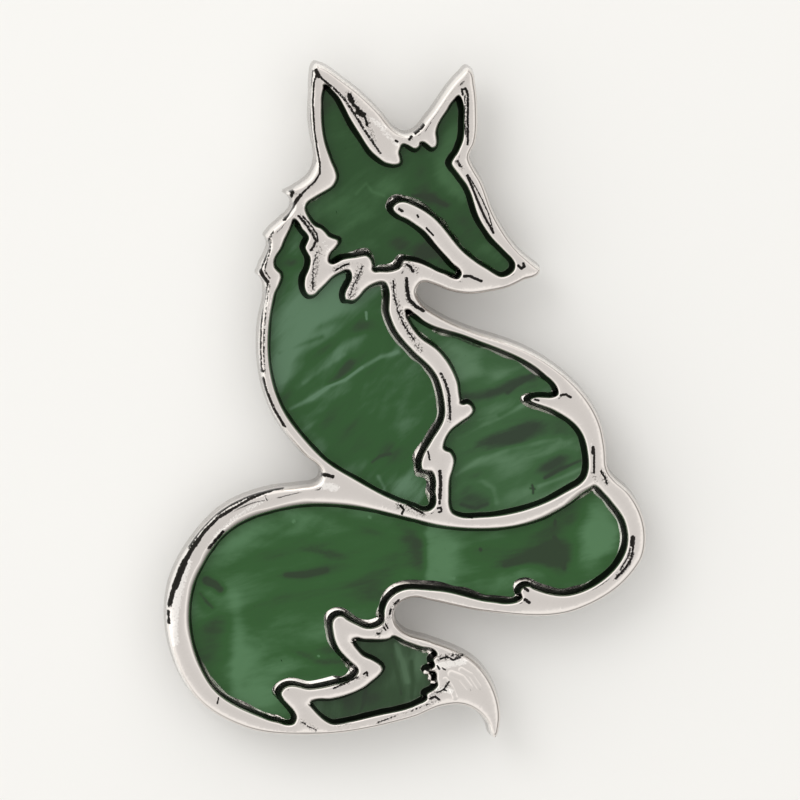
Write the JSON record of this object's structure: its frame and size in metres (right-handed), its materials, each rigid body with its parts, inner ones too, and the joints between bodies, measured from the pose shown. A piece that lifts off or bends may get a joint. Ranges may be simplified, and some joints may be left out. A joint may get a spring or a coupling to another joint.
{
  "type": "figural animal brooch",
  "caption": "Sitting fox brooch: a flat cast metal outline with raised bars round glossy marbled inlays, and a bar pin with hinge, wire and catch on its back.",
  "frame": {"origin": "bottom centre of the bounding box, in the plane of the hinge's and the catch's lowest faces", "axes": "+X across the fox to the viewer's right, +Y from the tail up to the ears, +Z out of the face"},
  "size_m": [0.044, 0.062, 0.006],
  "materials": {
    "cast_metal": "polished silver-tone casting with fine casting marks",
    "head_inlay": "glossy dark green marbled sheet",
    "body_inlay": "glossy green marbled sheet",
    "tip_inlay": "glossy dark green marbled sheet",
    "pin_metal": "plain plated steel"
  },
  "bodies": {
    "root": {"frame": "cast_metal", "panel_head": "head_inlay", "panel_chest": "body_inlay", "panel_flank": "body_inlay", "panel_tail": "body_inlay", "panel_tail_tip": "tip_inlay", "pin_back": "pin_metal"}
  },
  "joints": []
}
